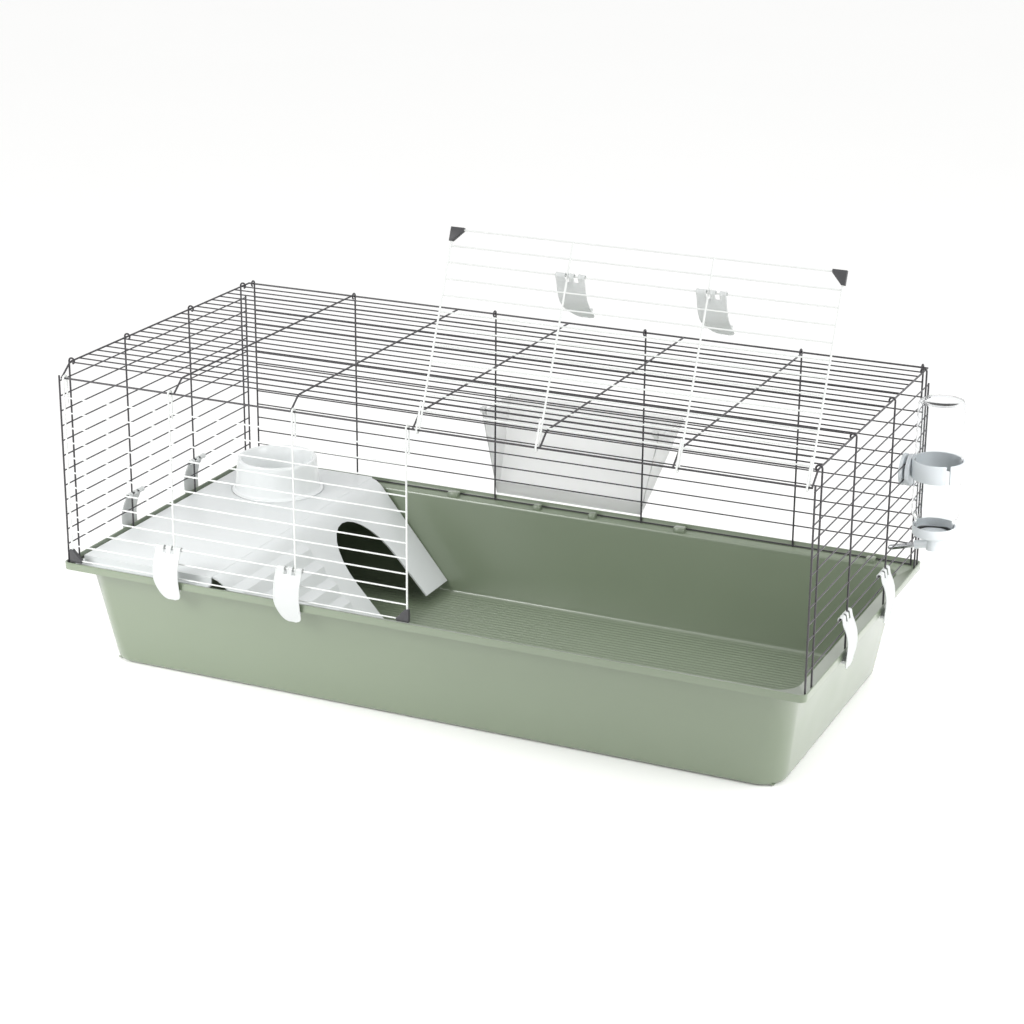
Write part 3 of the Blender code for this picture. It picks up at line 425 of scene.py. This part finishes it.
BAND = LIP_TOP - 0.0115
LEDGE = LIP_TOP - 0.009
E = 0.0006  # the moulding's edge radius
tray_rows = [  # inset from the rim, height, corner radius: up the outside, over the lip, and down the inside
    (0.0560, 0.0002, 0.029), (0.0515, 0.0007, 0.0325), (0.0485, 0.0020, 0.036), (0.0462, 0.0045, 0.0385),
    (0.0448, 0.0085, 0.040), (0.0440, 0.013, 0.040), (0.0340, 0.080, 0.0375),
    (0.0228, BAND - 0.002, 0.035), (0.0215, BAND - E, 0.034), (0.0200, BAND, 0.033),
    (E * 1.6, BAND, 0.0092), (0.0002, BAND + E * 0.5, 0.0098), (0.0, BAND + E * 1.5, 0.010),
    (0.0, LIP_TOP - E * 1.5, 0.010), (0.0002, LIP_TOP - E * 0.4, 0.0098), (0.0008, LIP_TOP, 0.0092),
    (0.0017, LIP_TOP, 0.0083), (0.0023, LIP_TOP - E * 0.4, 0.0077), (0.0025, LIP_TOP - E * 1.5, 0.0075),
    (0.0025, LEDGE + E, 0.0075), (0.0031, LEDGE, 0.0072),
    (0.0243, LEDGE, 0.0335), (0.0250, LEDGE - E, 0.033), (0.0255, LEDGE - 0.004, 0.033),
    (0.0360, 0.090, 0.0355), (0.0469, 0.0120, 0.0378), (0.0476, 0.0075, 0.0374), (0.0488, 0.0049, 0.0362),
    (0.0506, 0.0036, 0.0345), (0.0535, 0.0031, 0.032),
]
rings = [rounded_ring(inset, z, radius) for inset, z, radius in tray_rows]


def soft_block(low, high, edge):
    """A block whose upright and top edges are rounded off by small chamfers."""
    (x0, y0, z0), (x1, y1, z1) = low, high
    rows = [(0.0, z0), (0.0, z1 - edge), (edge * 0.4, z1 - edge * 0.4), (edge, z1)]
    points = []
    for inset, z in rows:
        a0, a1, b0, b1 = x0 + inset, x1 - inset, y0 + inset, y1 - inset
        points += [(a0 + edge, b0, z), (a1 - edge, b0, z), (a1, b0 + edge, z), (a1, b1 - edge, z)]
        points += [(a1 - edge, b1, z), (a0 + edge, b1, z), (a0, b1 - edge, z), (a0, b0 + edge, z)]
    return np.array(points), capped(len(rows), 8)


parts = [(np.concatenate(rings), capped(len(rings), len(rings[0])))]
LUGS = (
    (-0.198, 0.018, 1), (-0.047, 0.011, 1), (0.050, 0.011, 1), (0.200, 0.0175, 1), (0.5145, 0.014, 1),
    (-0.516, 0.013, -1), (-0.054, 0.010, -1), (0.042, 0.011, -1), (0.196, 0.021, -1), (0.530, 0.014, -1),
)  # middle, width, and 1 for the back ledge or -1 for the front
for x, width, side in LUGS:
    near, far, top = (0.024, 0.0105, 0.0085) if side > 0 else (0.013, 0.002, 0.005)
    near, far = sorted((side * (RIM_Y - near), side * (RIM_Y - far)))
    parts.append(soft_block((x - width / 2, near, LEDGE - 0.0008), (x + width / 2, far, LEDGE + top), 0.0010))
TRAY_GREEN = surface(
    "sage green plastic", "#74806a", "#707c67", 0.35, 2.5, 0.0025, 180.0, Specular_IOR_Level=0.5, IOR=1.5,
    Coat_Weight=1.0, Coat_Roughness=0.2,
)


def ribbed_sheet(half_x, half_y, foot, base, rise, pitch):
    """A closed sheet ribbed along X: its top is base plus half of rise times one plus the cosine of y over pitch."""
    y = np.linspace(-half_y, half_y, int(16 * half_y / pitch))
    z = base + rise * (0.5 + 0.5 * np.cos(2 * np.pi * y / pitch))
    section = np.concatenate([np.stack([y, z], axis=1), [[half_y, foot], [-half_y, foot]]])
    count = len(section)
    points = [np.column_stack([np.full(count, x), section]) for x in (-half_x, half_x)]
    sides = [[k, count + k, count + (k + 1) % count, (k + 1) % count] for k in range(count)]
    return np.concatenate(points), sides + [list(range(count)), list(range(count, 2 * count))[::-1]]


FLOOR_INSET = 0.056
parts.append(ribbed_sheet(RIM_X - FLOOR_INSET, RIM_Y - FLOOR_INSET, 0.0016, 0.0021, 0.0019, 0.0096))
piece("green_tray", *merged(parts), TRAY_GREEN, "tray", "cage_base", "tray_green", 50.0)

# ---------------------------------------------------------------- shelf
# One moulding of pale grey plastic: a platform with a flange that rests on the ledge, and a ramp with stair
# ridges beside an arched way through. Its edges are slightly rounded and its face is finely grained.
SHELF_GREY = surface(
    "pale grey shelf plastic", "#d1d4d4", "#ccd0d0", 0.36, 2.5, 0.003, 120.0, Coat_Weight=0.1
)
softened("shelf", "stepped_shelf", SHELF_GREY, "shelf", 0.9, 3)

# ---------------------------------------------------------------- bowl
# A white moulded bowl: a wide foot flange, an outer cone, a rolled rim and a smooth hollow.
BOWL_WHITE = surface(
    "white bowl plastic", "#dcdfdf", "#d7dada", 0.23, 2.5, 0.003, 60.0, Coat_Weight=0.2, Coat_Roughness=0.1
)


def turned(profile, steps, middle):
    """A profile of (radius, height) turned about the upright axis through middle.

    A profile that starts and ends at radius nought is closed by poles; any other closes on itself as a ring.
    """
    profile = np.asarray(profile, float)
    turns = np.arange(steps) * 2 * np.pi / steps
    solid = profile[0, 0] == 0 and profile[-1, 0] == 0
    rows = profile[1:-1] if solid else profile
    x = rows[:, :1] * np.cos(turns)
    y = rows[:, :1] * np.sin(turns)
    z = np.repeat(rows[:, 1:], steps, axis=1)
    points = np.stack([x, y, z], axis=2).reshape(-1, 3)
    faces = skin(len(rows), steps, not solid)
    if solid:
        total = len(points)
        points = np.concatenate([points, [[0, 0, profile[0, 1]], [0, 0, profile[-1, 1]]]])
        k = np.arange(steps)
        m = (k + 1) % steps
        faces += np.stack([m, k, np.full(steps, total)], axis=1).tolist()
        faces += np.stack([total - steps + k, total - steps + m, np.full(steps, total + 1)], axis=1).tolist()
    return points + np.asarray(middle, float), faces


bowl_low, bowl_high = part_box("bowl")
bowl_middle = ((bowl_low.x + bowl_high.x) / 2, (bowl_low.y + bowl_high.y) / 2, bowl_low.z)
bowl_profile = [
    (0, 0.006), (0.046, 0.006), (0.0545, 0.0031), (0.069, 0.0007), (0.0738, 0.0002), (0.0748, 0.0006),
    (0.0749, 0.0014), (0.0745, 0.0021), (0.0735, 0.0025), (0.0712, 0.0033), (0.0701, 0.0045), (0.0697, 0.0065),
    (0.0675, 0.028), (0.0655, 0.0495), (0.0650, 0.0530), (0.0640, 0.0546), (0.0625, 0.0551), (0.0607, 0.0550),
    (0.0592, 0.0543), (0.0581, 0.0525), (0.0560, 0.036), (0.0535, 0.0165), (0.0522, 0.0122), (0.0500, 0.0096),
    (0.0465, 0.0083), (0, 0.0081),
]
piece("feeding_bowl", *turned(bowl_profile, 96, bowl_middle), BOWL_WHITE, "bowl", "bowl", "bowl_white")

# ---------------------------------------------------------------- hay rack
# A frosted translucent polypropylene moulding, 2 mm thick: a slanted trough that hangs outside the back wall.
RACK = surface(
    "frosted rack plastic", "#f2f3f2", "#ecedec", 0.34, 3.0, 0.008, 90.0, Transmission_Weight=0.55, IOR=1.49,
)
softened("hay_rack", "hanging_hay_rack", RACK, "hay_rack", 0.5, 2)

# ---------------------------------------------------------------- drinker holder
# A split collar round the bottle, on a round jaw outside the wires, with an equal disc inside and the screw
# between them: three mouldings of pale grey plastic, slightly translucent where they are thin.
HOLDER = surface(
    "pale grey holder plastic", "#dfe4e7", "#d9dfe3", 0.34, 2.5, 0.003, 30.0, Transmission_Weight=0.2, IOR=1.49
)
softened("holder_collar", "bottle_collar", HOLDER, "cage_base", 0.4)
softened("holder_clamp_disc", "clamp_disc", HOLDER, "cage_base", 0.5)
softened("holder_screw", "clamp_screw", HOLDER, "cage_base", 0.3)

# ---------------------------------------------------------------- bottle, cap, seal, spout and ball
# A blow-moulded clear bottle, mouth down, in a pale cap with a rubber seal. The cap's nozzle holds a drawn
# stainless steel tube, closed by a loose steel ball at its tip.
CLEAR = surface(
    "clear bottle plastic", "#fcfdfd", "#fafbfc", 0.05, 2.0, 0.004, 90.0, Transmission_Weight=1.0, IOR=1.14
)
bottle_low, bottle_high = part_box("bottle")
bottle_middle = ((bottle_low.x + bottle_high.x) / 2, (bottle_low.y + bottle_high.y) / 2, bottle_low.z)
tall = bottle_high.z - bottle_low.z
bottle_rows = [
    (0.0288, 0.0002), (0.0288, 0.0150), (0.0291, 0.0172), (0.0300, 0.0192), (0.0328, 0.0230), (0.0341, 0.0258),
    (0.0348, 0.0292), (0.03495, 0.0330), (0.03495, tall - 0.010), (0.0347, tall - 0.0062),
    (0.0338, tall - 0.0030), (0.0322, tall - 0.0008), (0.0300, tall - 0.0001), (0.0255, tall - 0.0006),
    (0.0235, tall - 0.0022), (0.0, tall - 0.0028),
]
inner_rows = [
    (0.0, tall - 0.0040), (0.0230, tall - 0.0034), (0.0252, tall - 0.0019), (0.0298, tall - 0.0013),
    (0.0315, tall - 0.0021), (0.0327, tall - 0.0040), (0.0335, tall - 0.0070), (0.03375, tall - 0.0105),
    (0.03375, 0.0334), (0.0336, 0.0298), (0.0329, 0.0266), (0.0317, 0.0240), (0.0290, 0.0204), (0.0280, 0.0182),
    (0.0276, 0.0155), (0.0276, 0.0002),
]
BOTTLE_STEPS = 96
outer_points, outer_faces = turned([(0, 0)] + bottle_rows, BOTTLE_STEPS, bottle_middle)
inner_points, inner_faces = turned(inner_rows + [(0, 0)], BOTTLE_STEPS, bottle_middle)
outer_count = len(outer_points)
shell = [face for face in outer_faces if outer_count - 2 not in face]
shell += [[outer_count + k for k in face] for face in inner_faces if len(inner_points) - 1 not in face]
k = np.arange(BOTTLE_STEPS)
m = (k + 1) % BOTTLE_STEPS
inner_mouth = outer_count + (len(inner_rows) - 2) * BOTTLE_STEPS
shell += np.stack([m, k, inner_mouth + k, inner_mouth + m], axis=1).tolist()
points = np.concatenate([outer_points, inner_points])
piece("clear_bottle", points, shell, CLEAR, "bottle", "bottle", "bottle_clear")

CAP_GREY = surface(
    "pale grey cap plastic", "#e0e4e7", "#dae0e3", 0.34, 2.5, 0.003, 30.0, Transmission_Weight=0.15, IOR=1.49
)
softened("bottle_cap", "nozzle_cap", CAP_GREY, "cage_base", 0.4)
SEAL = surface("black seal rubber", "#232323", "#1c1c1c", 0.6, 0.4, 0.02, 15.0)
seal_low, seal_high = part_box("cap_seal")
seal_middle = ((seal_low.x + seal_high.x) / 2, (seal_low.y + seal_high.y) / 2, seal_low.z)
seal_rows = [
    (0.0228, 0.0), (0.0282, 0.0), (0.0285, 0.0004), (0.0285, 0.0013), (0.0282, 0.0017), (0.0228, 0.0017),
    (0.0225, 0.0013), (0.0225, 0.0004),
]
piece("cap_seal_ring", *turned(seal_rows, 64, seal_middle), SEAL, "cap_seal", "cage_base", "seal_rubber")

STEEL = surface(
    "drawn stainless steel", "#a9abad", "#b4b6b8", 0.2, 0.5, 0.006, 20.0, (1, 14, 14), Metallic=1.0
)
spout_axis = np.array(JOINTS["spout_ball_push"]["axis"], float)
ball_low, ball_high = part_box("spout_ball")
tip = (np.array(ball_low) + np.array(ball_high)) / 2
frame_turn = np.array(Vector(spout_axis).to_track_quat("Z", "Y").to_matrix())
tube_rows = [
    (0.0033, 0.0), (0.0036, 0.0001), (0.0039, 0.0006), (0.0040, 0.0012), (0.0040, 0.0465), (0.0038, 0.0473),
    (0.0034, 0.0473), (0.0032, 0.0465), (0.0032, 0.0012), (0.00315, 0.0004),
]
points, faces = turned(tube_rows, 48, (0, 0, 0))
piece("drinking_tube", points @ frame_turn.T + tip, faces, STEEL, "drinking_spout", "cage_base", "steel")
arc = np.linspace(-np.pi / 2, np.pi / 2, 13)
ball_rows = [(0.003 * np.cos(a), 0.003 * np.sin(a)) for a in arc]
ball_rows[0] = (0, -0.003)
ball_rows[-1] = (0, 0.003)
points, faces = turned(ball_rows, 32, (0, 0, 0))
piece("tube_ball", points * 0.985 + tip, faces, STEEL, "spout_ball", "spout_ball", "steel")

# ---------------------------------------------------------------- floor, light and camera
# A plain pale studio floor under soft, even light. Two gridded softboxes brighten the floor beside the tray,
# which its glossy walls reflect, and the camera looks down from the front right.
FLOOR = surface("pale studio floor", "#fbfbfa", "#f9f9f8", 0.6, 3.0, 0.01, 900.0)
floor_mesh = bpy.data.meshes.new("studio floor")
corners = [(20 * x, 20 * y, -0.0005) for x, y in ((-1, -1), (1, -1), (1, 1), (-1, 1))]
floor_mesh.from_pydata(corners, [], [(0, 1, 2, 3)])
floor_mesh.materials.append(FLOOR)
floor = bpy.data.objects.new("studio floor", floor_mesh)
bpy.context.scene.collection.objects.link(floor)

world = bpy.data.worlds.new("studio")
world.use_nodes = True
world.node_tree.nodes["Background"].inputs["Color"].default_value = (1.0, 1.0, 1.0, 1.0)
world.node_tree.nodes["Background"].inputs["Strength"].default_value = 1.01
bpy.context.scene.world = world


def soft_light(name, place, target, size, power, spread=180.0):
    """A rectangular softbox at place, facing target: a grid narrows its beam to the spread, in degrees."""
    data = bpy.data.lights.new(name, "AREA")
    data.shape = "RECTANGLE"
    data.size, data.size_y = size
    data.energy = power
    data.spread = float(np.radians(spread))
    lamp = bpy.data.objects.new(name, data)
    lamp.location = place
    lamp.rotation_euler = (Vector(target) - Vector(place)).to_track_quat("-Z", "Y").to_euler()
    bpy.context.scene.collection.objects.link(lamp)


soft_light("overhead softbox", (0.2, -0.6, 3.2), (0, 0, 0.2), (3.0, 2.4), 14)
soft_light("right gridded softbox", (1.5, 0.35, 1.1), (0.95, 0.15, 0), (0.8, 0.8), 1.4, 60)
soft_light("left gridded softbox", (-1.2, -1.5, 1.0), (-0.5, -0.45, 0), (0.8, 0.8), 3.3, 60)
soft_light("right softbox", (2.6, -0.6, 1.3), (0.2, 0, 0.2), (1.4, 1.2), 29)
soft_light("front left softbox", (-2.2, -2.8, 1.6), (0, 0, 0.2), (1.8, 1.6), 14)

camera_data = bpy.data.cameras.new("camera")
camera_data.lens = 87.55
camera_data.sensor_width = 36
camera = bpy.data.objects.new("camera", camera_data)
bpy.context.scene.collection.objects.link(camera)
YAW, PITCH_ANGLE, ROLL = 0.4241, -0.3400, 0.0081
forward = Vector((-np.sin(YAW) * np.cos(PITCH_ANGLE), np.cos(YAW) * np.cos(PITCH_ANGLE), np.sin(PITCH_ANGLE)))
level = Vector((np.cos(YAW), np.sin(YAW), 0.0))
upward = level.cross(forward)
right = np.cos(ROLL) * level + np.sin(ROLL) * upward
upward = np.cos(ROLL) * upward - np.sin(ROLL) * level
turn = Matrix((right, upward, -forward)).transposed().to_4x4()
camera.matrix_world = Matrix.Translation((1.4886, -3.2328, 1.5078)) @ turn
bpy.context.scene.camera = camera
bpy.context.scene.view_settings.view_transform = "Standard"
